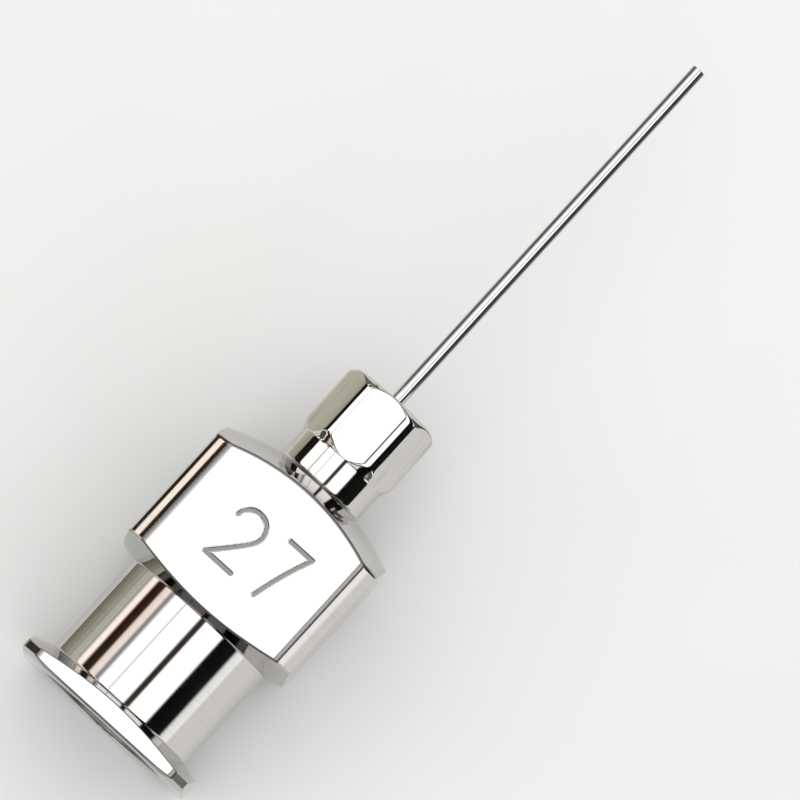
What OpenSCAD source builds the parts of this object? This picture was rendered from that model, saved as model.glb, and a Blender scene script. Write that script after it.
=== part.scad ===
// Dispensing needle tip: a metal hub turned from square bar, with a female Luer-lock end, and
// a thin blunt steel tube that is crimped in its nose. All sizes are in millimetres.
// The tip lies along +X: its mouth is the plane x = 0, its axis is the X axis, and one flat
// of its bar faces straight down.

/* [Bar] */
// Distance across the flats of the square bar that the hub is turned from
bar_flats = 6; // [5.7:0.05:6.2]
// Diameter over the bar's turned corners, which are the lugs of the lock at the flange
corner_d = 7.8; // [7.4:0.05:8]

/* [Luer-lock end] */
// Length of the flange's rim
flange_rim_l = 0.34; // [0.2:0.01:0.5]
// Length of the shallow cone that backs the flange, down to the barrel
flange_cone_l = 0.4; // [0.2:0.01:0.8]
// How far in from the corners the flange's face is bevelled
lug_bevel_w = 0.6; // [0.1:0.05:0.8]
// How far back that bevel reaches at the corners
lug_bevel_l = 0.08; // [0.02:0.01:0.15]
// Edge break round the mouth of the socket
edge_break = 0.06; // [0.02:0.01:0.1]

/* [Luer socket] */
// Diameter of the socket at the mouth
socket_d = 4.28; // [4.1:0.01:4.4]
// Depth of the socket's tapered wall
socket_depth = 7.5; // [7:0.1:8]
// Taper of the socket: the diameter lost in each unit of depth
socket_taper = 0.06; // [0.04:0.01:0.08]
// Point angle of the drill that leaves the socket's bottom
drill_point = 118; // [90:1:140]

/* [Barrel and block] */
// Outside diameter of the barrel
barrel_d = 4.95; // [4.8:0.05:5.4]
// Length from the mouth to the block
barrel_l = 4; // [3:0.05:5]
// Length of the shallow cone on the block's barrel side, out to its corners
shoulder_l = 0.42; // [0.2:0.01:0.8]
// Length of the whole block, from the barrel to the neck
block_l = 5; // [4.8:0.05:6]
// Radius of the dome that closes the block towards the nose
dome_r = 7.6; // [6.5:0.1:10]

/* [Nose] */
// Diameter of the round neck
neck_d = 2.85; // [2.5:0.05:2.9]
// Length of the neck
neck_l = 0.95; // [0.6:0.05:1.6]
// Distance across the flats of the hexagonal crimp
crimp_flats = 2.88; // [2.74:0.02:3]
// Diameter over the crimp's rounded corners
crimp_corner_d = 3.15; // [3.05:0.05:3.4]
// Length of the crimp
crimp_l = 2.25; // [1.8:0.05:2.8]
// Length of the cone where the neck swells into the crimp
crimp_lead_l = 0.3; // [0.1:0.05:0.4]
// Bevel round the nose's end
nose_bevel = 0.18; // [0.04:0.02:0.3]

/* [Tube] */
// Outside diameter of the tube
tube_d = 0.41; // [0.36:0.01:0.6]
// Bore of the tube
tube_bore = 0.21; // [0.1:0.01:0.26]
// Length of tube that stands out of the nose
tube_out = 12.7; // [6.2:0.1:40]
// How far the tube's inner end stops short of the socket's bottom
tube_recess = 0.3; // [0:0.1:1]
// Clearance round the tube, on the radius, up to the crimp
bore_clearance = 0.045; // [0.02:0.005:0.1]
// How far the crimp squeezes the tube's radius in
squeeze = 0.015; // [0.005:0.005:0.03]
// Length over which the squeezed waist fades out at each end
squeeze_fade = 0.6; // [0.55:0.05:0.7]

/* [Hidden] */
$fn = 120;
NICKEL = [0.80, 0.79, 0.76];
STEEL = [0.66, 0.66, 0.67];

// Stations along the axis, each from the one before it
flange_end = flange_rim_l + flange_cone_l;
block_start = barrel_l;
corner_start = block_start + shoulder_l;
neck_start = block_start + block_l;
crimp_start = neck_start + neck_l;
nose_end = crimp_start + crimp_l;
tip_end = nose_end + tube_out;

// Radii of the turned body
corner_r = corner_d / 2;
barrel_r = barrel_d / 2;
neck_r = neck_d / 2;
crimp_corner_r = crimp_corner_d / 2;

// The dome's circle is centred on the axis and cuts the neck's radius at neck_start
dome_centre = neck_start - sqrt(pow(dome_r, 2) - pow(neck_r, 2));

// Radii of the tube: as drawn, and in the waist that the crimp squeezes
tube_r = tube_d / 2;
waist_r = tube_r - squeeze;

// The waist lies inside the crimp, and the tube is round again where it leaves the nose
waist_start = crimp_start + squeeze_fade;
waist_end = nose_end - squeeze_fade;

// The socket's far end: the taper's last radius, then the drill's cone down to the bore
socket_r = socket_d / 2;
socket_end_r = socket_r - socket_taper * socket_depth / 2;
bore_r = tube_r + bore_clearance;
socket_bottom = socket_depth + (socket_end_r - bore_r) / tan(drill_point / 2);
tube_start = socket_bottom + tube_recess;

// How far a cutter runs past the face that it cuts through
past = 1;

// Turns a half section, drawn with the radius along X and the axis along Y, about the X axis
module turned() {
    rotate([0, 90, 0]) rotate_extrude() children();
}

// Half section of the flange and the barrel, which runs on into the block
module rear_section() {
    polygon([
        [0, 0],
        [corner_r - lug_bevel_w, 0],
        [corner_r, lug_bevel_l],
        [corner_r, flange_rim_l],
        [barrel_r, flange_end],
        [barrel_r, corner_start],
        [0, corner_start]
    ]);
}

// Half section of the block: a shallow cone, the corners' cylinder and the dome
module block_section() {
    intersection() {
        polygon([
            [0, block_start],
            [barrel_r, block_start],
            [corner_r, corner_start],
            [corner_r, neck_start],
            [0, neck_start]
        ]);
        translate([0, dome_centre]) circle(r = dome_r);
    }
}

// Half section of the neck, which starts inside the block, and of the collar that is crimped
module nose_section() {
    polygon([
        [0, corner_start],
        [neck_r, corner_start],
        [neck_r, crimp_start],
        [crimp_corner_r, crimp_start + crimp_lead_l],
        [crimp_corner_r, nose_end - nose_bevel],
        [crimp_corner_r - nose_bevel, nose_end],
        [0, nose_end]
    ]);
}

// Half section of everything hollow: the Luer socket, the drill's point and the tube's bore
module hollow_section() {
    polygon([
        [0, -past],
        [socket_r + edge_break + past, -past],
        [socket_r, edge_break],
        [socket_end_r, socket_depth],
        [bore_r, socket_bottom],
        [bore_r, crimp_start],
        [waist_r, waist_start],
        [waist_r, waist_end],
        [tube_r, nose_end],
        [tube_r, nose_end + past],
        [0, nose_end + past]
    ]);
}

// Half section of the tube before it is bored
module tube_section() {
    polygon([
        [0, tube_start],
        [tube_r, tube_start],
        [tube_r, crimp_start],
        [waist_r, waist_start],
        [waist_r, waist_end],
        [tube_r, nose_end],
        [tube_r, tip_end],
        [0, tip_end]
    ]);
}

// A bar along +X from x, whose square section about the axis is width across
module bar(x, length, width) {
    translate([x, -width / 2, -width / 2]) cube([length, width, width]);
}

// What lies outside the square bar: the lathe leaves four flats on the flange and the block
module bar_cut() {
    difference() {
        bar(-past, neck_start + past, corner_d + past);
        bar(-2 * past, neck_start + 4 * past, bar_flats);
    }
}

// What the crimping jaws push away: all that lies outside a hexagon with two level flats
module crimp_cut() {
    hexagon_r = crimp_flats / 2 / cos(30);
    difference() {
        bar(crimp_start, crimp_l + past, crimp_corner_d + past);
        translate([crimp_start - past, 0, 0]) rotate([0, 90, 0]) rotate([0, 0, 30])
            cylinder(h = crimp_l + 3 * past, r = hexagon_r, $fn = 6);
    }
}

module hub() {
    color(NICKEL) difference() {
        turned() union() {
            rear_section();
            block_section();
            nose_section();
        }
        bar_cut();
        crimp_cut();
        turned() hollow_section();
    }
}

module cannula() {
    color(STEEL) difference() {
        turned() tube_section();
        translate([tube_start - past, 0, 0]) rotate([0, 90, 0])
            cylinder(h = tip_end - tube_start + 2 * past, d = tube_bore);
    }
}

hub();
cannula();
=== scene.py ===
# %% [markdown]
# # A dispensing needle tip
#
# This lesson dresses one small metal part for a portrait: a blunt dispensing needle, 25 mm long.
# A hub is turned from square brass bar and plated with bright nickel, and a thin stainless steel
# tube is crimped in its nose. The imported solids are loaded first, as a fixed frame, so that every
# piece made here lands where the real part has it. The part's lengths below are in millimetres,
# and the helper that makes its meshes turns them into metres. The table is given in metres.

import math

import bpy
import numpy as np
from mathutils import Matrix, Vector


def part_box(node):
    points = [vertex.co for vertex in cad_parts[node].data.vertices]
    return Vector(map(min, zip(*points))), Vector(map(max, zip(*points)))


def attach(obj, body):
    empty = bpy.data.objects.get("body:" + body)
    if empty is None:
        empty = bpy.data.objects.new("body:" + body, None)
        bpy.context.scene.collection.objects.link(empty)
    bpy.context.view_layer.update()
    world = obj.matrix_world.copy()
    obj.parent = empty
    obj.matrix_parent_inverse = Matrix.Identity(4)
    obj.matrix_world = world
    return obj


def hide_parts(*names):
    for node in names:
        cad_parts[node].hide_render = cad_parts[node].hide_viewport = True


MM = 0.001

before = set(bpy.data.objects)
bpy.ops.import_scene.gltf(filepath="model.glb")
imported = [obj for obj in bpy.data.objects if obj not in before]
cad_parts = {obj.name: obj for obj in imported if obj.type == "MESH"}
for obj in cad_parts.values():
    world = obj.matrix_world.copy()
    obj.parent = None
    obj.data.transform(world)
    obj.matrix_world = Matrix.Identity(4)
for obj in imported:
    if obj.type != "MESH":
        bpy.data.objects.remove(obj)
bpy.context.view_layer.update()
hub_low, hub_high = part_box("hub")
tube_low, tube_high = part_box("cannula")
print("hub, in mm:", [round(v / MM, 2) for v in (*hub_low, *hub_high)])
print("tube, in mm:", [round(v / MM, 2) for v in (*tube_low, *tube_high)])

# %% [markdown]
# ## The camera
#
# The part lies on a table and is seen almost straight down. The camera leans a little towards the
# mouth, so that a sliver of the flange's face shows, and a little towards the near side. A long
# lens keeps the tube from shrinking towards its end. We could turn the camera by hand with angles,
# but it is easier to say where the needle's own axis should point in the picture, and to build the
# camera's three axes from that.

# %% Place the camera
# The leans and the axis's angle in the picture are in degrees.
LEAN_TO_MOUTH = 4.5
LEAN_TO_NEAR_SIDE = 2.2
AXIS_ANGLE = 47.6
CAMERA_DISTANCE = 290.0
PICTURE_WIDTH = 22.4
AIM = Vector((12.35, -0.04, 0.0))


def camera_axes():
    """The picture's right, its up, and the direction from the part to the camera."""
    back = Vector((
        -math.tan(math.radians(LEAN_TO_MOUTH)),
        -math.tan(math.radians(LEAN_TO_NEAR_SIDE)),
        1.0,
    )).normalized()
    along = Vector((1.0, 0.0, 0.0))
    along = (along - along.dot(back) * back).normalized()
    across = back.cross(along)
    turn = math.radians(AXIS_ANGLE)
    right = along * math.cos(turn) - across * math.sin(turn)
    up = along * math.sin(turn) + across * math.cos(turn)
    return right, up, back


right, up, back = camera_axes()
lens = bpy.data.cameras.new("camera")
lens.sensor_width = 36.0
lens.lens = lens.sensor_width * CAMERA_DISTANCE / PICTURE_WIDTH
lens.clip_start, lens.clip_end = 0.01, 10.0
camera = bpy.data.objects.new("camera", lens)
bpy.context.scene.collection.objects.link(camera)
spot = (AIM + back * CAMERA_DISTANCE) * MM
camera.matrix_world = Matrix((
    (right.x, up.x, back.x, spot.x),
    (right.y, up.y, back.y, spot.y),
    (right.z, up.z, back.z, spot.z),
    (0.0, 0.0, 0.0, 1.0),
))
bpy.context.scene.camera = camera
print("camera", [round(v, 4) for v in spot], "lens", round(lens.lens))

# %% [markdown]
# ## The table
#
# A plain pale table top, a matt sheet with a very faint unevenness. It lies exactly under the hub's
# lowest flats. A round sheet of rings has no corners that could show in a low view.

# %% Lay the table
TABLE_RADIUS = 1.2


def table_top(name, radius, height, rings=6, spokes=48):
    """A flat round sheet: one middle point, then rings of points."""
    verts, faces = [(0.0, 0.0, height)], []
    for i in range(1, rings + 1):
        reach = radius * (i / rings) ** 2
        for j in range(spokes):
            a = 2 * math.pi * j / spokes
            verts.append((reach * math.cos(a), reach * math.sin(a), height))
    for j in range(spokes):
        k = (j + 1) % spokes
        faces.append((0, 1 + j, 1 + k))
        for i in range(rings - 1):
            a, b = 1 + i * spokes, 1 + (i + 1) * spokes
            faces.append((a + j, b + j, b + k, a + k))
    mesh = bpy.data.meshes.new(name)
    mesh.from_pydata(verts, [], faces)
    sheet = bpy.data.objects.new(name, mesh)
    bpy.context.scene.collection.objects.link(sheet)
    return sheet


table = table_top("table_top", TABLE_RADIUS, hub_low.z)
print("table at z", round(hub_low.z / MM, 3), "mm")

# %% [markdown]
# ## The light
#
# Bright metal shows its surroundings more than its own colour, so the light is mostly a matter of
# what stands round the part. In a studio, a wide white sheet hangs overhead, dark gaps are left
# round it, and the pale table and walls close the circle below. Over a round barrel such a room
# folds into lengthwise strips: the middle of the barrel looks up, its flanks look sideways, and
# its edges look at the table. The steep ends of the block look out of the gaps, which draws a dark
# line round every flat.
#
# Lamps could do it, but a world that is painted by direction is easier to set. The first ramp says
# how bright the room is at each angle round the needle's axis, from straight up to the two
# horizons. The second dims it towards the two ends of the axis. On the mouth's side the light stops
# almost at once, so that the cone behind the block is dark. On the nose's side it fades more slowly
# over the dome and the nose's bevel.

# %% The room by angle
# Each row: the angle from straight up in degrees, positive to the far side, and the colour there.
ROOM = [
    (-95.0, (0.42, 0.42, 0.415)),
    (-88.0, (0.50, 0.50, 0.495)),
    (-85.0, (0.70, 0.70, 0.69)),
    (-74.0, (0.62, 0.62, 0.61)),
    (-69.5, (0.006, 0.006, 0.006)),
    (-44.5, (0.002, 0.002, 0.002)),
    (-41.5, (1.00, 0.96, 0.96)),
    (-13.5, (1.00, 0.975, 0.975)),
    (-11.5, (0.03, 0.02, 0.02)),
    (-5.0, (0.02, 0.015, 0.015)),
    (-2.5, (1.00, 1.00, 1.00)),
    (20.5, (1.00, 1.00, 1.00)),
    (22.5, (0.42, 0.43, 0.47)),
    (24.5, (1.00, 1.00, 1.00)),
    (39.0, (0.98, 0.98, 1.00)),
    (43.0, (0.22, 0.21, 0.21)),
    (46.5, (0.20, 0.19, 0.18)),
    (50.0, (0.74, 0.66, 0.62)),
    (57.5, (0.66, 0.57, 0.53)),
    (60.5, (0.03, 0.015, 0.010)),
    (72.5, (0.010, 0.005, 0.003)),
    (76.0, (0.86, 0.76, 0.68)),
    (82.5, (0.84, 0.76, 0.70)),
    (86.0, (0.30, 0.29, 0.25)),
    (95.0, (0.26, 0.26, 0.23)),
]
# The sine of the angle out of the plane across the axis, from the mouth's side to the nose's, and
# how much of the light is left there.
ROOM_ENDS = [
    (-1.0, 0.3), (-0.88, 0.3), (-0.80, 0.14), (-0.46, 0.10), (-0.40, 1.0),
    (0.40, 1.0), (0.60, 0.9), (0.68, 0.5), (0.88, 0.4), (1.0, 0.3),
]
ROOM_BRIGHTNESS = 1.75
SOFT_DAYLIGHT = 1.22
BACKDROP = (0.84, 0.84, 0.835)
print("room of", len(ROOM), "stops round the axis and", len(ROOM_ENDS), "along it")


# %% Helpers: a ramp and a glow
def add_ramp(nodes, rows):
    """A colour ramp with one stop for each row of position and colour."""
    ramp = nodes.new("ShaderNodeValToRGB")
    stops = ramp.color_ramp.elements
    stops.remove(stops[1])
    stops[0].position, stops[0].color = 0.0, (*rows[0][1], 1.0)
    for position, colour in rows:
        stops.new(position).color = (*colour, 1.0)
    return ramp


def plain_glow(nodes, colour, strength):
    glow = nodes.new("ShaderNodeBackground")
    glow.inputs["Color"].default_value = (*colour, 1.0)
    glow.inputs["Strength"].default_value = strength
    return glow


print("helpers ready: a colour ramp and a plain glow")

# %% Helper: the room that the metal mirrors
def mirrored_room(nodes, links):
    """A glow that depends on the angle round the needle's axis and on the angle along it."""
    coords = nodes.new("ShaderNodeTexCoord")
    split = nodes.new("ShaderNodeSeparateXYZ")
    links.new(coords.outputs["Generated"], split.inputs[0])
    angle = nodes.new("ShaderNodeMath")
    angle.operation = "ARCTAN2"
    links.new(split.outputs["Y"], angle.inputs[0])
    links.new(split.outputs["Z"], angle.inputs[1])
    place = nodes.new("ShaderNodeMapRange")
    place.inputs["From Min"].default_value = -math.pi
    place.inputs["From Max"].default_value = math.pi
    links.new(angle.outputs[0], place.inputs["Value"])
    across = add_ramp(nodes, [(0.5 + degrees / 360.0, colour) for degrees, colour in ROOM])
    links.new(place.outputs["Result"], across.inputs["Fac"])
    sideways = nodes.new("ShaderNodeMapRange")
    sideways.inputs["From Min"].default_value = -1.0
    links.new(split.outputs["X"], sideways.inputs["Value"])
    ends = add_ramp(nodes, [(0.5 + sine / 2, (share,) * 3) for sine, share in ROOM_ENDS])
    links.new(sideways.outputs["Result"], ends.inputs["Fac"])
    both = nodes.new("ShaderNodeMix")
    both.data_type, both.blend_type = "RGBA", "MULTIPLY"
    both.inputs["Factor"].default_value = 1.0
    links.new(across.outputs["Color"], both.inputs["A"])
    links.new(ends.outputs["Color"], both.inputs["B"])
    mirrored = plain_glow(nodes, (1.0, 1.0, 1.0), ROOM_BRIGHTNESS)
    links.new(both.outputs["Result"], mirrored.inputs["Color"])
    return mirrored


print("helper ready: the room that the metal mirrors")

# %% [markdown]
# ## Who sees the strips
#
# The metal mirrors the strips, but the table should not be striped by them. The light path tells
# what kind of ray asks: a mirrored one gets the strips, a soft one gets even daylight, and the
# camera itself gets a plain backdrop.

# %% Paint the room
def paint_room():
    world = bpy.data.worlds.new("room")
    world.use_nodes = True
    nodes, links = world.node_tree.nodes, world.node_tree.links
    nodes.clear()
    mirrored = mirrored_room(nodes, links)
    daylight = plain_glow(nodes, (1.0, 1.0, 0.995), SOFT_DAYLIGHT)
    backdrop = plain_glow(nodes, BACKDROP, 1.0)
    ray = nodes.new("ShaderNodeLightPath")
    lit = nodes.new("ShaderNodeMixShader")
    links.new(ray.outputs["Is Diffuse Ray"], lit.inputs["Fac"])
    links.new(mirrored.outputs[0], lit.inputs[1])
    links.new(daylight.outputs[0], lit.inputs[2])
    seen = nodes.new("ShaderNodeMixShader")
    links.new(ray.outputs["Is Camera Ray"], seen.inputs["Fac"])
    links.new(lit.outputs[0], seen.inputs[1])
    links.new(backdrop.outputs[0], seen.inputs[2])
    out = nodes.new("ShaderNodeOutputWorld")
    links.new(seen.outputs[0], out.inputs["Surface"])
    return world


bpy.context.scene.world = paint_room()
bpy.context.scene.view_settings.view_transform = "Standard"
print("painted", bpy.context.scene.world.name)

# %% [markdown]
# ## Cards beside the part
#
# Bright metal also mirrors what lies close to it, and such tips lie side by side between low walls.
# Eight small cards stand in for those neighbours: five on the far side, next to the barrel, the
# block, the nose, the tube and the flange, and three on the near side. Most of them are one dark
# strip that draws a line along an edge. The larger ones are sheets of level strips, and each strip
# glows in its own tone. The cards are only seen in the metal: not by the camera, and they cast no
# shadow. A lamp could not do this, because it can only add light and never a dark line.

# %% Stand the cards
TABLE_FOOT = hub_low.z / MM + 0.02
# For each card: its place across, where it starts and ends along the axis, the height of its foot,
# and its strips upwards. A strip is the height of its upper edge and its tone.
CARDS = {
    "barrel_card": (6.4, -0.5, 4.3, TABLE_FOOT, [
        (-2.2, (0.20, 0.20, 0.16)), (-1.2, (0.26, 0.26, 0.21)), (-0.2, (0.34, 0.34, 0.28)),
        (0.8, (0.44, 0.44, 0.37)), (1.7, (0.60, 0.59, 0.52)),
    ]),
    "block_card": (5.2, 4.3, 8.8, 2.0, [
        (2.42, (0.03, 0.025, 0.02)), (2.87, (1.40, 1.25, 1.12)), (3.5, (0.03, 0.02, 0.015)),
    ]),
    "nose_card": (6.4, 8.8, 13.2, TABLE_FOOT, [
        (-2.4, (0.62, 0.60, 0.50)), (-1.6, (0.55, 0.54, 0.44)), (-0.6, (0.50, 0.49, 0.41)),
        (0.6, (0.42, 0.42, 0.36)), (3.1, (0.01, 0.008, 0.006)), (7.5, (1.60, 1.58, 1.55)),
    ]),
    "near_nose_card": (-6.4, 8.8, 13.2, 1.3, [(3.4, (0.006, 0.006, 0.006))]),
    "tube_card": (6.4, 13.2, 26.0, TABLE_FOOT, [(2.3, (0.17, 0.17, 0.17))]),
    "near_tube_card": (-6.4, 13.2, 26.0, TABLE_FOOT, [(2.3, (0.09, 0.09, 0.09))]),
    "flange_card": (4.4, -0.5, 0.8, 2.2, [(3.6, (0.05, 0.045, 0.04))]),
    "near_flange_card": (-4.4, -0.5, 0.8, 2.2, [(3.6, (0.20, 0.20, 0.20))]),
}


def stand_card(name, y, start, end, foot, strips):
    levels = [foot] + [top for top, _ in strips]
    verts = [(x * MM, y * MM, z * MM) for z in levels for x in (start, end)]
    faces = [(2 * i, 2 * i + 1, 2 * i + 3, 2 * i + 2) for i in range(len(strips))]
    mesh = bpy.data.meshes.new(name)
    mesh.from_pydata(verts, [], faces)
    for i, (_, tone) in enumerate(strips):
        paint = bpy.data.materials.new(f"{name}_{i}")
        paint.use_nodes = True
        nodes = paint.node_tree.nodes
        nodes.remove(nodes["Principled BSDF"])
        glow = nodes.new("ShaderNodeEmission")
        glow.inputs["Color"].default_value = (*tone, 1.0)
        paint.node_tree.links.new(glow.outputs[0], nodes["Material Output"].inputs["Surface"])
        mesh.materials.append(paint)
        mesh.polygons[i].material_index = i
    card = bpy.data.objects.new(name, mesh)
    bpy.context.scene.collection.objects.link(card)
    card.visible_camera = card.visible_diffuse = card.visible_shadow = False


for name, card in CARDS.items():
    stand_card(name, *card)
print("cards:", sorted(CARDS))

# %% [markdown]
# ## The hub's sizes
#
# The hub starts as a square bar, 6 mm across. The lathe turns its corners down to 7.8 mm and leaves
# four flats on the flange and on the block. Between the two the bar is turned right down to a thin
# barrel round the Luer socket. In front of the block are a round neck and a nose that is crimped to
# a hexagon on the tube.
#
# We will not model these as separate solids. Seen from the axis, every direction has exactly one
# outline from the mouth to the nose and back through the bore, and that outline only depends on how
# far the flats let it reach. That is the form that the next cells use.

# %% Sizes of the hub
BAR_HALF, CORNER_R = 3.0, 3.9
RIM_END, FLANGE_END = 0.34, 0.74
LUG_BEVEL_W, LUG_BEVEL_L = 0.6, 0.08
BARREL_R, BLOCK_START, SHOULDER_L = 2.475, 4.0, 0.42
NECK_START, DOME_R, NECK_R = 9.0, 7.6, 1.425
DOME_CENTRE = NECK_START - math.sqrt(DOME_R ** 2 - NECK_R ** 2)
CRIMP_START, CRIMP_LEAD = 9.95, 0.3
CRIMP_HALF, CRIMP_R = 1.44, 1.575
NOSE_END, NOSE_BEVEL = 12.2, 0.18
MOUTH_R, MOUTH_BREAK, SOCKET_DEPTH, SOCKET_END_R = 2.14, 0.06, 7.5, 1.915
BORE_R, DRILL_POINT = 0.25, 118.0
SOCKET_BOTTOM = SOCKET_DEPTH + (SOCKET_END_R - BORE_R) / math.tan(math.radians(DRILL_POINT / 2))
TUBE_R, TUBE_BORE_R, TIP_END, TUBE_RECESS = 0.205, 0.105, 24.9, 0.3
TUBE_START = SOCKET_BOTTOM + TUBE_RECESS
print("nose ends at", NOSE_END, "and the packed hub at", round(hub_high.x / MM, 3))

# %% [markdown]
# ## How far the metal reaches in each direction
#
# A flat that lies 3 mm from the axis is 3 mm away straight above the axis and further off to the
# sides, by one over the cosine. The turned corner stops it at 3.9 mm. Taking the smaller of the two
# gives the section, and taking it softly takes about two hundredths off the edge between them, as
# turning and plating do.
#
# The crimp is another matter. Its jaws press six facets into a round nose, and the metal between
# two facets bulges into a broad round corner. There the section is an arc about a point between
# the axis and the corner.

# %% Reach of the square and of the crimp
EDGE_SOFTNESS = 0.075
FLAT_EDGE = math.acos(BAR_HALF / CORNER_R)
CRIMP_ROUND = (CRIMP_HALF - CRIMP_R * math.cos(math.pi / 6)) / (1 - math.cos(math.pi / 6))
CRIMP_HUB = (CRIMP_HALF - CRIMP_ROUND) / math.cos(math.pi / 6)
CRIMP_EDGE = math.atan2(CRIMP_HUB * math.sin(math.pi / 6), CRIMP_HALF)


def soft_least(a, b, width):
    """The smaller of two lengths, with a short smooth passage where they cross."""
    overlap = max(width - abs(a - b), 0.0) / width
    return min(a, b) - overlap * overlap * width * 0.25


def off_middle(bearing, sides):
    """How far a bearing is from the middle of its side. Bearing 0 is straight up."""
    step = 2 * math.pi / sides
    return (bearing + step / 2) % step - step / 2


def square_reach(bearing):
    return soft_least(BAR_HALF / math.cos(off_middle(bearing, 4)), CORNER_R, EDGE_SOFTNESS)


def crimp_reach(bearing):
    off = abs(off_middle(bearing, 6))
    if off <= CRIMP_EDGE:
        return CRIMP_HALF / math.cos(off)
    turn = math.pi / 6 - off
    aside = CRIMP_HUB * math.sin(turn)
    return CRIMP_HUB * math.cos(turn) + math.sqrt(CRIMP_ROUND ** 2 - aside ** 2)


print("the flats end at", round(math.degrees(FLAT_EDGE), 1), "degrees")
print("the crimp's corners have a radius of", round(CRIMP_ROUND, 2))

# %% [markdown]
# ## One outline for one direction
#
# The outline is a closed path of corners. Every corner is swapped for a short curve, because real
# edges are never perfectly sharp and it is the tiny round that catches the light. Each outline gets
# the same number of points, so that neighbouring outlines can be joined by four-sided faces whose
# edges run exactly along the real ones.
#
# Next to its place, each point keeps the direction of the path there. From it we get exact
# normals later, which a mirror finish needs. It also keeps how much it belongs to an edge of the
# flats, because plating is thin and rubbed dull there, and there the colour is also darkened as a
# painted shade line.

# %% Numbers for the outline
ARC_POINTS = 4
DOME_STEPS = 14
DIGIT_ROWS = np.linspace(5.20, 7.36, 88)
# A round takes at most this share of the side that it lies on.
MOST_OF_SIDE = 0.4
# The least bevels of the flange and the nose, and how far the flange's face stays inside its edge.
LEAST_LUG_BEVEL, LEAST_NOSE_BEVEL, FACE_INSET = 0.045, 0.05, 0.09
# The hole for the tube: its edge break, the hair's gap round the tube, and its step to the bore.
HOLE_BREAK, HOLE_GAP, BORE_STEP = 0.05, 0.006, 0.1
# How rubbed and darkened with painted shade the points of a corner's round are, for the corners
# that have such an edge.
UNMARKED, ROUND_ONLY = (0.0, 0.0, 0.0, 0.0, 0.0), (0.0, 1.0, 1.0, 1.0, 0.0)
RUBBED_AND_SHADED_CORNERS = {
    1: (0.0, 0.0, 0.0, 1.0, 1.0), 2: (1.0, 1.0, 1.0, 1.0, 0.0),
    3: ROUND_ONLY, 6: ROUND_ONLY, 7: ROUND_ONLY,
}
# Half the width of the rubbed edge beside a flat, with its painted shade line, as an angle, and how
# rubbed and shaded the turned parts are.
RUBBED_AND_SHADED_WIDTH, RUBBED_AND_SHADED_ELSEWHERE = 0.023, 0.35
print("rubbed corners:", sorted(RUBBED_AND_SHADED_CORNERS))


# %% Corners of one outline
def corner_path(square, crimp):
    """Rows of a corner's x and radius, the length of its round, and the steps to the next one."""
    lug = max((square - CORNER_R + LUG_BEVEL_W) / LUG_BEVEL_W * LUG_BEVEL_L, LEAST_LUG_BEVEL)
    rim = RIM_END + (CORNER_R - square) * (FLANGE_END - RIM_END) / (CORNER_R - BARREL_R)
    shoulder = BLOCK_START + (square - BARREL_R) * SHOULDER_L / (CORNER_R - BARREL_R)
    dome = DOME_CENTRE + math.sqrt(DOME_R ** 2 - square ** 2)
    bevel = max(NOSE_BEVEL - (CRIMP_R - crimp), LEAST_NOSE_BEVEL)
    swell = CRIMP_START + (crimp - NECK_R) / (CRIMP_R - NECK_R) * CRIMP_LEAD
    return [
        ((0.0, MOUTH_R + MOUTH_BREAK), 0.02, 3),
        ((0.0, min(CORNER_R - LUG_BEVEL_W, square - FACE_INSET)), 0.03, 1),
        ((lug, square), 0.04, 2),
        ((rim, square), 0.035, 3),
        ((FLANGE_END, BARREL_R), 0.05, 4),
        ((BLOCK_START, BARREL_R), 0.05, 3),
        ((shoulder, square), 0.07, "digits"),
        ((dome, square), 0.09, "dome"),
        ((NECK_START, NECK_R), 0.12, 2),
        ((CRIMP_START, NECK_R), 0.07, 2),
        ((swell, crimp), 0.08, 5),
        ((NOSE_END - bevel, crimp), 0.1, 1),
        ((NOSE_END, crimp - bevel), 0.1, 3),
        ((NOSE_END, TUBE_R + HOLE_BREAK), 0.03, 1),
        ((NOSE_END - HOLE_BREAK, TUBE_R + HOLE_GAP), 0.03, 2),
        ((CRIMP_START, TUBE_R + HOLE_GAP), 0.03, 1),
        ((CRIMP_START - BORE_STEP, BORE_R), 0.03, 2),
        ((SOCKET_BOTTOM, BORE_R), 0.03, 3),
        ((SOCKET_DEPTH, SOCKET_END_R), 0.06, 6),
        ((MOUTH_BREAK, MOUTH_R), 0.03, 1),
    ]


print("an outline has", len(corner_path(BAR_HALF, CRIMP_HALF)), "corners")


# %% Helpers: rounds and the steps between them
def unit(way):
    return way / np.linalg.norm(way)


def along_dome(place):
    """The direction of the dome's circle at one of its points."""
    return np.array([place[1], -(place[0] - DOME_CENTRE)])


def round_length(path, places, i):
    """How far a corner's round reaches along its two sides."""
    here, last, following = places[i], places[i - 1], places[(i + 1) % len(path)]
    return min(
        path[i][1],
        MOST_OF_SIDE * np.linalg.norm(here - last),
        MOST_OF_SIDE * np.linalg.norm(following - here),
    )


def curve_round(before, corner, after, count):
    """Points and directions of a smooth turn from before to after, pulled towards the corner."""
    t = np.linspace(0.0, 1.0, count + 1)[:, None]
    points = (1 - t) ** 2 * before + 2 * t * (1 - t) * corner + t ** 2 * after
    heading = (1 - t) * (corner - before) + t * (after - corner)
    return points, heading


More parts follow.
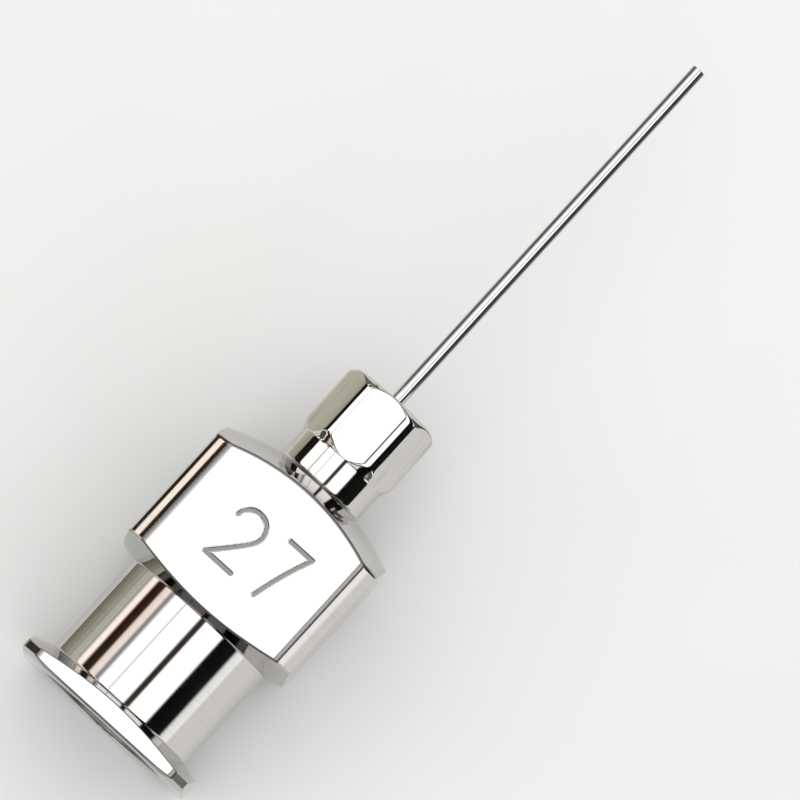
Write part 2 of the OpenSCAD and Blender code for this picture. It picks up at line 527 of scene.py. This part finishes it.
def steps_between(rows, end, following, on_way, cut_next):
    """Points and directions from the end of one round to the start of the next."""
    if rows == "dome":
        first = math.atan2(end[1], end[0] - DOME_CENTRE)
        last = math.atan2(following[1], following[0] - DOME_CENTRE) + cut_next / DOME_R
        sweep = np.linspace(first, last, DOME_STEPS)[1:-1]
        points = np.stack([DOME_CENTRE + DOME_R * np.cos(sweep), DOME_R * np.sin(sweep)], 1)
        return points, np.stack([np.sin(sweep), -np.cos(sweep)], 1)
    if rows == "digits":
        before = np.linspace(end[0], DIGIT_ROWS[0], 6)[1:-1]
        after = np.linspace(DIGIT_ROWS[-1], following[0] - cut_next, 6)[1:-1]
        x = np.concatenate([before, DIGIT_ROWS, after])
        points = np.stack([x, np.full_like(x, end[1])], 1)
    else:
        t = np.linspace(0.0, 1.0, rows + 1)[1:-1, None]
        points = end * (1 - t) + (following - unit(on_way) * cut_next) * t
    return points, np.tile(on_way, (len(points), 1))


print("a round has", ARC_POINTS + 1, "points, and the dome", DOME_STEPS - 2, "between its rounds")

# %% Trace one outline
def outline(bearing):
    """The hub's outline in one direction: its points, their directions, and their wear and painted
    shade.
    """
    square = square_reach(bearing)
    path = corner_path(square, crimp_reach(bearing))
    places = [np.array(place) for place, _, _ in path]
    cuts = [round_length(path, places, i) for i in range(len(path))]
    spots, headings, rubbed_and_shaded = [], [], []
    for i, here in enumerate(places):
        following = (i + 1) % len(path)
        back_way, on_way = here - places[i - 1], places[following] - here
        if path[i][2] == "dome":
            on_way = along_dome(here)
        if path[i - 1][2] == "dome":
            back_way = along_dome(here)
        start, end = here - unit(back_way) * cuts[i], here + unit(on_way) * cuts[i]
        turn, turn_ways = curve_round(start, here, end, ARC_POINTS)
        run, run_ways = steps_between(path[i][2], end, places[following], on_way, cuts[following])
        spots += [turn, run]
        headings += [turn_ways, run_ways]
        rubbed_and_shaded += [RUBBED_AND_SHADED_CORNERS.get(i, UNMARKED), np.zeros(len(run))]
    spots, rubbed_and_shaded = np.concatenate(spots), np.concatenate(rubbed_and_shaded)
    # Beside a flat's edge the rubbed plating also gets a dark line of painted shade.
    beside_edge = (abs(off_middle(bearing, 2)) - FLAT_EDGE) / RUBBED_AND_SHADED_WIDTH
    on_bar = np.abs(spots[:, 1] - square) < 1e-6
    rubbed_and_shaded = rubbed_and_shaded * (1.0 if beside_edge < 1.0 else RUBBED_AND_SHADED_ELSEWHERE)
    rubbed_and_shaded = np.maximum(rubbed_and_shaded, on_bar * max(1.0 - beside_edge ** 2, 0.0))
    return spots, np.concatenate(headings), rubbed_and_shaded


print("an outline has", len(outline(0.0)[0]), "points")

# %% [markdown]
# ## The directions to trace
#
# The outlines crowd together where the form changes: at the edges of the flats and of the crimp,
# and over the middle of the upper flat, where the size digits are engraved.

# %% Choose the bearings
DIGIT_COLUMNS = np.linspace(-1.62, 1.26, 118)
# The even columns of a flat stop this far before its edges, in millimetres.
EDGE_MARGIN = 0.12
# The crowd at an edge reaches this far to both sides, and the least step, in radians.
CROWD, LEAST_STEP = 0.026, 0.0012


def bearings():
    flat = np.tan(FLAT_EDGE) * BAR_HALF
    last = flat - EDGE_MARGIN
    left = np.linspace(-last, DIGIT_COLUMNS[0], 8)[:-1]
    right = np.linspace(DIGIT_COLUMNS[-1], last, 10)[1:]
    found = [np.arctan2(columns, BAR_HALF) for columns in (DIGIT_COLUMNS, left, right)]
    for quarter in (1, 2, 3):
        found.append(quarter * math.pi / 2 + np.arctan2(np.linspace(-last, last, 22), BAR_HALF))
    for quarter in range(4):
        middle = quarter * math.pi / 2
        for side in (-1, 1):
            found.append(middle + side * (FLAT_EDGE + np.linspace(-CROWD, CROWD, 11)))
        spread = math.pi / 4 - FLAT_EDGE - CROWD
        found.append(middle + math.pi / 4 + np.linspace(-spread, spread, 9)[1:-1])
    for sixth in range(6):
        corner = sixth * math.pi / 3 + math.pi / 6
        found.append(corner + np.linspace(-1, 1, 15) * (math.pi / 6 - CRIMP_EDGE))
    every = np.sort(np.concatenate(found) % (2 * math.pi))
    kept = [every[0]]
    for bearing in every[1:]:
        if bearing - kept[-1] > LEAST_STEP:
            kept.append(bearing)
    return np.array(kept)


BEARINGS = bearings()
print(len(BEARINGS), "outlines round the axis")

# %% [markdown]
# ## The size digits
#
# Such tips carry their gauge as a plain number, 27 here, for a tube of 0.41 mm. It is engraved
# on one flat, with the tops of the digits towards the needle. A font would bring its own style and
# hundreds of stray points, so the two digits are drawn as the path of a small round cutter: an arc,
# a slope and a foot for the 2, a bar and a slope for the 7.

# %% Draw the digits as cutter paths
# Where the digits' feet and tops lie along the axis, and their left and right edges across it.
DIGIT_FOOT, DIGIT_TOP = 5.39, 7.17
TWO_LEFT, TWO_RIGHT = 1.03, 0.07
SEVEN_LEFT, SEVEN_RIGHT = -0.57, -1.38


def bend(start, pull, end):
    """Sixteen points of a slope that leaves start, is pulled aside, and ends at end."""
    t = np.linspace(0.0, 1.0, 16)[:, None]
    start, pull, end = np.array(start), np.array(pull), np.array(end)
    return (1 - t) ** 2 * start + 2 * t * (1 - t) * pull + t ** 2 * end


def digit_two():
    """Points along the 2: u runs from its left to its right, v from its foot to its top."""
    a = np.radians(np.linspace(172, -28, 30))
    bow = np.stack([0.5 + 0.5 * np.cos(a), 0.735 + 0.265 * np.sin(a)], 1)
    slope = bend(bow[-1], (0.80, 0.47), (0.0, 0.0))[1:]
    return np.concatenate([bow, slope, [[1.0, 0.0]]])


def digit_seven():
    return np.concatenate([[[0.0, 1.0]], bend((1.0, 1.0), (0.56, 0.55), (0.28, 0.0))])


def on_flat(path, left, right):
    """Lays a digit on the upper flat: its top looks along the tube."""
    along = DIGIT_FOOT + path[:, 1] * (DIGIT_TOP - DIGIT_FOOT)
    return np.stack([along, left + path[:, 0] * (right - left)], 1)


CUTTER_PATHS = [
    on_flat(digit_two(), TWO_LEFT, TWO_RIGHT),
    on_flat(digit_seven(), SEVEN_LEFT, SEVEN_RIGHT),
]
print("digits drawn with", sum(len(p) for p in CUTTER_PATHS), "points")

# %% Depth of the cut
# Half the width of the cutter, half the width of the soft wall beside it, and the cut's depth.
STROKE_HALF, STROKE_WALL, STROKE_DEPTH = 0.062, 0.030, 0.022
FAR_AWAY = 9.0


def distance_to_strokes(x, y):
    nearest = np.full(x.shape, FAR_AWAY)
    for path in CUTTER_PATHS:
        for (ax, ay), (bx, by) in zip(path[:-1], path[1:]):
            dx, dy = bx - ax, by - ay
            t = np.clip(((x - ax) * dx + (y - ay) * dy) / (dx * dx + dy * dy), 0.0, 1.0)
            nearest = np.minimum(nearest, np.hypot(x - ax - t * dx, y - ay - t * dy))
    return nearest


def cut_share(x, y):
    """1 at the bottom of the engraved line, 0 on the flat, with a soft wall between."""
    inside = STROKE_HALF + STROKE_WALL - distance_to_strokes(x, y)
    t = np.clip(inside / (2 * STROKE_WALL), 0.0, 1.0)
    return t * t * (3 - 2 * t)


print("on the 2's foot the share is", float(cut_share(np.array([DIGIT_FOOT]), np.array([0.5]))[0]))

# %% [markdown]
# ## From outlines to a mesh
#
# Now the outlines are laid side by side. For each point we need three things: its place, its
# normal, and how rubbed it is, with the painted shade along the flats' edges. The normal is the
# cross product of two directions: the path's own heading, and the step to the same point on an
# outline a hair's breadth further round.

# %% Lay the outlines round the axis
HAIR = 1e-5


def lay_outlines():
    count = len(outline(0.0)[0])
    places = np.zeros((len(BEARINGS), count, 3))
    normals, rubbed_and_shaded = np.zeros_like(places), np.zeros(places.shape[:2])
    for i, b in enumerate(BEARINGS):
        spot, heading, rubbed_and_shaded[i] = outline(b)
        before, after = outline(b - HAIR)[0], outline(b + HAIR)[0]
        out = np.array([math.sin(b), math.cos(b)])
        round_ = np.array([math.cos(b), -math.sin(b)])
        places[i] = np.column_stack([spot[:, 0], spot[:, 1:] * out])
        along = np.column_stack([heading[:, 0], heading[:, 1:] * out])
        slide = (after - before) / (2 * HAIR)
        across = np.column_stack([slide[:, 0], slide[:, 1:] * out + spot[:, 1:] * round_])
        normal = np.cross(along, across)
        normals[i] = normal / np.linalg.norm(normal, axis=1, keepdims=True)
    return places, normals, rubbed_and_shaded


hub_places, hub_normals, hub_rubbed_and_shaded = lay_outlines()
print("laid", hub_places.shape[0], "by", hub_places.shape[1], "points")

# %% [markdown]
# ## Engraving
#
# The points on the upper flat sink by the depth of the cut, and their normals lean with its
# walls. Because the depth is a formula, the lean is measured from the formula and not from the
# mesh, so the walls look smooth although they are only a few faces wide.

# %% Engrave the digits
# The part of the upper flat that may be cut: its ends along the axis, half its width, its height.
CUT_FROM, CUT_TO, CUT_HALF, CUT_ABOVE = 4.5, 8.2, 2.3, 2.9
FACES_UP = 0.999
FEELER = 0.002


def engrave(places, normals):
    x, y, z = places[..., 0], places[..., 1], places[..., 2]
    upper = (normals[..., 2] > FACES_UP) & (z > CUT_ABOVE)
    upper &= (x > CUT_FROM) & (x < CUT_TO) & (np.abs(y) < CUT_HALF)
    share = np.where(upper, cut_share(x, y), 0.0)
    rise_x = cut_share(x + FEELER, y) - cut_share(x - FEELER, y)
    rise_y = cut_share(x, y + FEELER) - cut_share(x, y - FEELER)
    lean_x = rise_x / (2 * FEELER) * STROKE_DEPTH
    lean_y = rise_y / (2 * FEELER) * STROKE_DEPTH
    places[..., 2] -= share * STROKE_DEPTH
    tilted = normals + np.stack([lean_x, lean_y, np.zeros_like(x)], -1) * upper[..., None]
    return places, tilted / np.linalg.norm(tilted, axis=-1, keepdims=True), share


hub_places, hub_normals, hub_cut = engrave(hub_places, hub_normals)
print("engraved points:", int((hub_cut > 0).sum()))

# %% [markdown]
# ## A helper that makes the piece
#
# Both metal pieces are closed bands of outlines, so one helper joins the points with four-sided
# faces, turns millimetres into metres, and gives the mesh the exact normals.
#
# A renderer cuts each four-sided face in two, always along the same diagonal. On the walls of the
# engraving that shows as saw teeth wherever the stroke runs the other way. So the faces there are
# cut first, each along the diagonal whose two ends lie at the more equal depth.

# %% Helper: split the faces on the engraving's walls
def split_on_walls(faces, cut):
    """Splits a face on a wall along the diagonal that keeps the more even depth."""
    depth = cut.reshape(-1)[faces]
    on_wall = np.ptp(depth, axis=1) > 0
    even = np.abs(depth[:, 0] - depth[:, 2]) < np.abs(depth[:, 1] - depth[:, 3])
    one, other = faces[on_wall & even], faces[on_wall & ~even]
    halves = [one[:, [0, 1, 2]], one[:, [0, 2, 3]], other[:, [0, 1, 3]], other[:, [1, 2, 3]]]
    return faces[~on_wall].tolist() + np.concatenate(halves).tolist()


print("points on the engraving's walls:", int(((hub_cut > 0) & (hub_cut < 1)).sum()))

# %% Helper: join outlines into an object
def join_outlines(name, places, normals, shares):
    turns, count, _ = places.shape
    index = np.arange(turns * count).reshape(turns, count)
    onward, beside = np.roll(index, -1, axis=1), np.roll(index, -1, axis=0)
    both = np.roll(onward, -1, axis=0)
    faces = np.stack([index, onward, both, beside], -1).reshape(-1, 4)
    if "engraved" in shares:
        faces = split_on_walls(faces, shares["engraved"])
    else:
        faces = faces.tolist()
    mesh = bpy.data.meshes.new(name)
    mesh.from_pydata((places.reshape(-1, 3) * MM).tolist(), [], faces)
    mesh.polygons.foreach_set("use_smooth", np.ones(len(mesh.polygons), bool))
    for title, values in shares.items():
        layer = mesh.attributes.new(title, "FLOAT", "POINT")
        layer.data.foreach_set("value", values.reshape(-1).astype(np.float32))
    mesh.normals_split_custom_set_from_vertices(normals.reshape(-1, 3).tolist())
    piece = bpy.data.objects.new(name, mesh)
    bpy.context.scene.collection.objects.link(piece)
    return piece


print("helper ready: outlines are joined into a piece")

# %% [markdown]
# ## The hub
#
# The hub stands in for the imported solid of the same shape, because a mirror finish would show
# that solid's facets. It lies in the same place and has the same sizes.

# %% Make the hub
# The rubbed share also carries the painted shade line along the flats' edges.
hub_shares = {"engraved": hub_cut, "rubbed_and_shaded": hub_rubbed_and_shaded}
hub = join_outlines("nickel_hub", hub_places, hub_normals, hub_shares)
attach(hub, "root")
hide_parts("hub")
print("hub:", len(hub.data.polygons), "faces")

# %% [markdown]
# ## The tube
#
# The cannula is a drawn stainless steel tube with a wall of a tenth of a millimetre. Its end is cut
# square, because it has to lay dots of paste and not to pierce, and the cut is deburred. Its inner
# end lies hidden in the hub. A plain cylinder would have no wall, so this is an outline turned
# round the axis too: out along the outside, over the rounded rim, and back through the bore.

# %% Outline of the tube
DEBURRED = 0.02
TUBE_STEPS, TUBE_TURNS = 25, 72


def tube_outline():
    corners = [
        (TUBE_START, TUBE_BORE_R), (TUBE_START, TUBE_R), (TIP_END, TUBE_R), (TIP_END, TUBE_BORE_R),
    ]
    spots, headings = [], []
    for i, corner in enumerate(corners):
        here = np.array(corner)
        before = np.array(corners[i - 1]) - here
        after = np.array(corners[(i + 1) % 4]) - here
        start, end = here + unit(before) * DEBURRED, here + unit(after) * DEBURRED
        points, heading = curve_round(start, here, end, ARC_POINTS)
        spots.append(points)
        headings.append(heading)
        if i % 2 == 1:
            t = np.linspace(0.0, 1.0, TUBE_STEPS + 1)[1:-1, None]
            far = np.array(corners[(i + 1) % 4]) - unit(after) * DEBURRED
            spots.append(end * (1 - t) + far * t)
            headings.append(np.tile(after, (len(t), 1)))
    return np.concatenate(spots), np.concatenate(headings)


print("the tube's outline has", len(tube_outline()[0]), "points")

# %% Make the tube
def turn_outline(spots, headings, turns):
    """The same outline at each turn round the axis, with its normals."""
    places = np.zeros((turns, len(spots), 3))
    normals = np.zeros_like(places)
    for i in range(turns):
        b = 2 * math.pi * i / turns
        out = np.array([math.sin(b), math.cos(b)])
        places[i] = np.column_stack([spots[:, 0], spots[:, 1:] * out])
        normal = np.column_stack([-headings[:, 1], headings[:, :1] * out])
        normals[i] = normal / np.linalg.norm(normal, axis=1, keepdims=True)
    return places, normals


tube_places, tube_normals = turn_outline(*tube_outline(), TUBE_TURNS)
cannula = join_outlines("steel_tube", tube_places, tube_normals, {})
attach(cannula, "root")
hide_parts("cannula")
print("tube:", len(cannula.data.polygons), "faces")

# %% [markdown]
# ## Marks that metals share
#
# Two effects turn up in every metal here, so each is built once as a node group. The first draws
# fine parallel lines, as a tool or a die leaves them: noise that is stretched a long way in one
# direction. The second lays soft patches, where fingers and air have dulled the shine. The table
# uses the patches too.

# %% Helper: an empty node group
def new_group(name, inputs, output):
    group = bpy.data.node_groups.new(name, "ShaderNodeTree")
    for title, kind, value in inputs:
        socket = group.interface.new_socket(title, in_out="INPUT", socket_type=kind)
        if value is not None:
            socket.default_value = value
    group.interface.new_socket(output, in_out="OUTPUT", socket_type="NodeSocketFloat")
    return group, group.nodes.new("NodeGroupInput"), group.nodes.new("NodeGroupOutput")


print("helper ready: an empty node group with named sockets")

# %% Node group: tool lines
def build_tool_lines():
    group, given, out = new_group("tool_lines", [
        ("Place", "NodeSocketVector", None),
        ("Stretch", "NodeSocketVector", (1.0, 1.0, 1.0)),
        ("Sparse", "NodeSocketFloat", 0.5),
    ], "Lines")
    links = group.links
    scaled = group.nodes.new("ShaderNodeVectorMath")
    scaled.operation = "MULTIPLY"
    links.new(given.outputs["Place"], scaled.inputs[0])
    links.new(given.outputs["Stretch"], scaled.inputs[1])
    noise = group.nodes.new("ShaderNodeTexNoise")
    noise.inputs["Scale"].default_value = 1.0
    noise.inputs["Detail"].default_value = 3.0
    noise.inputs["Roughness"].default_value = 0.65
    links.new(scaled.outputs[0], noise.inputs["Vector"])
    ridge = group.nodes.new("ShaderNodeMapRange")
    ridge.interpolation_type = "SMOOTHSTEP"
    links.new(noise.outputs["Fac"], ridge.inputs["Value"])
    links.new(given.outputs["Sparse"], ridge.inputs["From Min"])
    ridge.inputs["From Max"].default_value = 0.85
    links.new(ridge.outputs["Result"], out.inputs["Lines"])
    return group


TOOL_LINES = build_tool_lines()
print("built", TOOL_LINES.name)

# %% Node group: dull patches
def build_dull_patches():
    group, given, out = new_group("dull_patches", [
        ("Place", "NodeSocketVector", None),
        ("Size", "NodeSocketFloat", 1.0),
        ("Low", "NodeSocketFloat", 0.0),
        ("High", "NodeSocketFloat", 1.0),
    ], "Value")
    noise = group.nodes.new("ShaderNodeTexNoise")
    noise.inputs["Detail"].default_value = 2.0
    group.links.new(given.outputs["Place"], noise.inputs["Vector"])
    group.links.new(given.outputs["Size"], noise.inputs["Scale"])
    spread = group.nodes.new("ShaderNodeMapRange")
    spread.inputs["From Min"].default_value = 0.3
    spread.inputs["From Max"].default_value = 0.7
    group.links.new(noise.outputs["Fac"], spread.inputs["Value"])
    group.links.new(given.outputs["Low"], spread.inputs["To Min"])
    group.links.new(given.outputs["High"], spread.inputs["To Max"])
    group.links.new(spread.outputs["Result"], out.inputs["Value"])
    return group


DULL_PATCHES = build_dull_patches()
print("built", DULL_PATCHES.name)

# %% [markdown]
# ## Bright nickel
#
# Nickel plate is a warm mirror: it gives back about two thirds of the light, a little less in the
# blue. What tells the surfaces apart is how they were cut before plating. The turned parts have
# rings round the axis, the flats are the drawn skin of the bar, with faint lines along it, and the
# crimp is pressed, with marks of the jaws. The socket's wall is dull, because plating hardly
# reaches into a deep hole, and its colour is darkened as painted shade for the deep hole. The
# steel tube was drawn through a die and has lines along it.
#
# One function makes all five from their own numbers. A list of marks adds what is not the same all
# over: the edges beside the flats, where the plating is rubbed dull and the colour is darkened as a
# painted shade line, and the bottom of the engraving. Where they lie was written on the points of
# the mesh, as attributes.

# %% Helper: a bright metal
PATCH_SIZE = 700.0


def metal(
    name, colour, stretch, line_height, line_dulling, dull,
    marks=(), line_tone=0.9, sparse=0.45,
):
    """A bright metal with fine tool lines. Stretch is in lines per metre along each axis."""
    material = bpy.data.materials.new(name)
    material.use_nodes = True
    nodes, links = material.node_tree.nodes, material.node_tree.links
    shader = nodes["Principled BSDF"]
    shader.inputs["Metallic"].default_value = 1.0
    shader.inputs["Specular Tint"].default_value = (0.85, 0.85, 0.85, 1.0)
    place = nodes.new("ShaderNodeTexCoord")
    lines = nodes.new("ShaderNodeGroup")
    lines.node_tree = TOOL_LINES
    lines.inputs["Stretch"].default_value = stretch
    lines.inputs["Sparse"].default_value = sparse
    links.new(place.outputs["Object"], lines.inputs["Place"])
    patches = nodes.new("ShaderNodeGroup")
    patches.node_tree = DULL_PATCHES
    patches.inputs["Size"].default_value = PATCH_SIZE
    patches.inputs["Low"].default_value = dull[0]
    patches.inputs["High"].default_value = dull[1]
    links.new(place.outputs["Object"], patches.inputs["Place"])
    rough = nodes.new("ShaderNodeMath")
    rough.operation = "MULTIPLY_ADD"
    rough.inputs[1].default_value = line_dulling
    links.new(lines.outputs["Lines"], rough.inputs[0])
    links.new(patches.outputs["Value"], rough.inputs[2])
    tint = nodes.new("ShaderNodeMix")
    tint.data_type = "RGBA"
    tint.inputs["A"].default_value = (*colour, 1.0)
    tint.inputs["B"].default_value = (*[c * line_tone for c in colour], 1.0)
    links.new(lines.outputs["Lines"], tint.inputs["Factor"])
    roughness, base = rough.outputs[0], tint.outputs["Result"]
    for mark, mark_colour, mark_roughness in marks:
        where = nodes.new("ShaderNodeAttribute")
        where.attribute_name = mark
        dark = nodes.new("ShaderNodeMix")
        dark.data_type = "RGBA"
        dark.inputs["B"].default_value = (*mark_colour, 1.0)
        links.new(where.outputs["Fac"], dark.inputs["Factor"])
        links.new(base, dark.inputs["A"])
        frost = nodes.new("ShaderNodeMix")
        frost.data_type = "FLOAT"
        frost.inputs["B"].default_value = mark_roughness
        links.new(where.outputs["Fac"], frost.inputs["Factor"])
        links.new(roughness, frost.inputs["A"])
        roughness, base = frost.outputs["Result"], dark.outputs["Result"]
    links.new(roughness, shader.inputs["Roughness"])
    links.new(base, shader.inputs["Base Color"])
    bump = nodes.new("ShaderNodeBump")
    bump.inputs["Distance"].default_value = line_height * MM
    bump.inputs["Strength"].default_value = 1.0
    links.new(lines.outputs["Lines"], bump.inputs["Height"])
    links.new(bump.outputs["Normal"], shader.inputs["Normal"])
    return material


print("helper ready: a bright metal")

# %% Make the metals
NICKEL = (0.67, 0.655, 0.635)
# Painted shade: the nickel in the socket is darkened to stand for the shade deep in the hole.
NICKEL_PAINTED_SHADE_IN_SOCKET = (0.30, 0.295, 0.285)
STEEL = (0.62, 0.62, 0.62)
RINGS = (9000.0, 500.0, 500.0)
# A mark is the attribute's name, the colour there, and the roughness there.
# The rubbed edges are rougher, and their darker colour is painted shade: a dark line along the
# edges.
RUBBED_AND_SHADED_EDGE = ("rubbed_and_shaded", (0.25, 0.245, 0.24), 0.30)
ENGRAVED = ("engraved", (0.27, 0.27, 0.265), 0.42)
# The socket's rough finish is its dull plating, and its darker colour is painted shade.
nickel_socket_dull_and_shaded = metal("nickel_socket_dull_and_shaded", NICKEL_PAINTED_SHADE_IN_SOCKET, RINGS, 0.0002, 0.05, (0.30, 0.38))
nickel_turned = metal("nickel_turned", NICKEL, RINGS, 0.00006, 0.03, (0.045, 0.075), [RUBBED_AND_SHADED_EDGE])
nickel_flat = metal(
    "nickel_flat", NICKEL, (350.0, 14000.0, 14000.0), 0.00010, 0.05, (0.05, 0.085),
    [RUBBED_AND_SHADED_EDGE, ENGRAVED],
)
nickel_crimp = metal(
    "nickel_crimp", NICKEL, (450.0, 4200.0, 4200.0), 0.0006, 0.03, (0.04, 0.07),
    line_tone=0.62, sparse=0.5,
)
steel_drawn = metal(
    "steel_drawn", STEEL, (300.0, 16000.0, 16000.0), 0.00010, 0.05, (0.10, 0.15),
)
HUB_FINISHES = (nickel_turned, nickel_flat, nickel_crimp, nickel_socket_dull_and_shaded)
print("metals:", [m.name for m in (*HUB_FINISHES, steel_drawn)])

# %% [markdown]
# ## Each face gets its finish
#
# The hub's mesh knows nothing of flats and turned parts, but their faces give themselves away:
# a face of a flat points straight along one of the two cross axes, a crimped face lies beyond
# the neck and looks sideways, and a face of the socket lies inside the mouth. All other faces
# were turned.

# %% Hand out the finishes
TURNED, FLAT, CRIMPED, IN_SOCKET = range(len(HUB_FINISHES))
# How far the engraving and the edges' rounds may lie below a flat.
FLAT_DEPTH = 0.03
# A face looks along a cross axis above the first share, and along the needle above the second.
LOOKS_ACROSS, LOOKS_ALONG = 0.9, 0.8
# The socket's finish starts behind the mouth's edge, and takes in a little of the bore.
SOCKET_FROM, SOCKET_TO, SOCKET_WITHIN = 0.03, SOCKET_BOTTOM + 0.1, MOUTH_R + 0.05


def face_values(mesh, what):
    values = np.zeros(len(mesh.polygons) * 3)
    mesh.polygons.foreach_get(what, values)
    return values.reshape(-1, 3)


def finish_hub(piece):
    mesh = piece.data
    for material in HUB_FINISHES:
        mesh.materials.append(material)
    centres, normals = face_values(mesh, "center") / MM, face_values(mesh, "normal")
    x, radius = centres[:, 0], np.hypot(centres[:, 1], centres[:, 2])
    off_axis = np.abs(centres[:, 1:]).max(1)
    on_flat_face = off_axis > BAR_HALF - FLAT_DEPTH
    on_flat_face &= np.abs(normals[:, 1:]).max(1) > LOOKS_ACROSS
    on_crimp = (x > CRIMP_START) & (radius > NECK_R) & (np.abs(normals[:, 0]) < LOOKS_ALONG)
    in_socket = (x > SOCKET_FROM) & (x < SOCKET_TO) & (radius < SOCKET_WITHIN)
    rules = [in_socket, on_flat_face, on_crimp]
    kind = np.select(rules, [IN_SOCKET, FLAT, CRIMPED], TURNED).astype(np.int32)
    mesh.polygons.foreach_set("material_index", kind)
    return [int((kind == k).sum()) for k in range(len(HUB_FINISHES))]


cannula.data.materials.append(steel_drawn)
print("turned, flat, crimped and socket faces:", finish_hub(hub))

# %% [markdown]
# ## The table's surface
#
# A matt, pale sheet. A trace of unevenness in its tone keeps it from looking like empty paper.

# %% Finish the table
TABLE_DARK, TABLE_PALE = (0.70, 0.70, 0.69, 1.0), (0.74, 0.74, 0.735, 1.0)
TABLE_PATCH_SIZE = 60.0


def table_paint():
    material = bpy.data.materials.new("pale_table")
    material.use_nodes = True
    nodes, links = material.node_tree.nodes, material.node_tree.links
    shader = nodes["Principled BSDF"]
    shader.inputs["Roughness"].default_value = 0.6
    place = nodes.new("ShaderNodeTexCoord")
    patches = nodes.new("ShaderNodeGroup")
    patches.node_tree = DULL_PATCHES
    patches.inputs["Size"].default_value = TABLE_PATCH_SIZE
    links.new(place.outputs["Object"], patches.inputs["Place"])
    tone = nodes.new("ShaderNodeMix")
    tone.data_type = "RGBA"
    tone.inputs["A"].default_value = TABLE_DARK
    tone.inputs["B"].default_value = TABLE_PALE
    links.new(patches.outputs["Value"], tone.inputs["Factor"])
    links.new(tone.outputs["Result"], shader.inputs["Base Color"])
    return material


table.data.materials.append(table_paint())
print("painted", table.name, "with", table.data.materials[0].name)
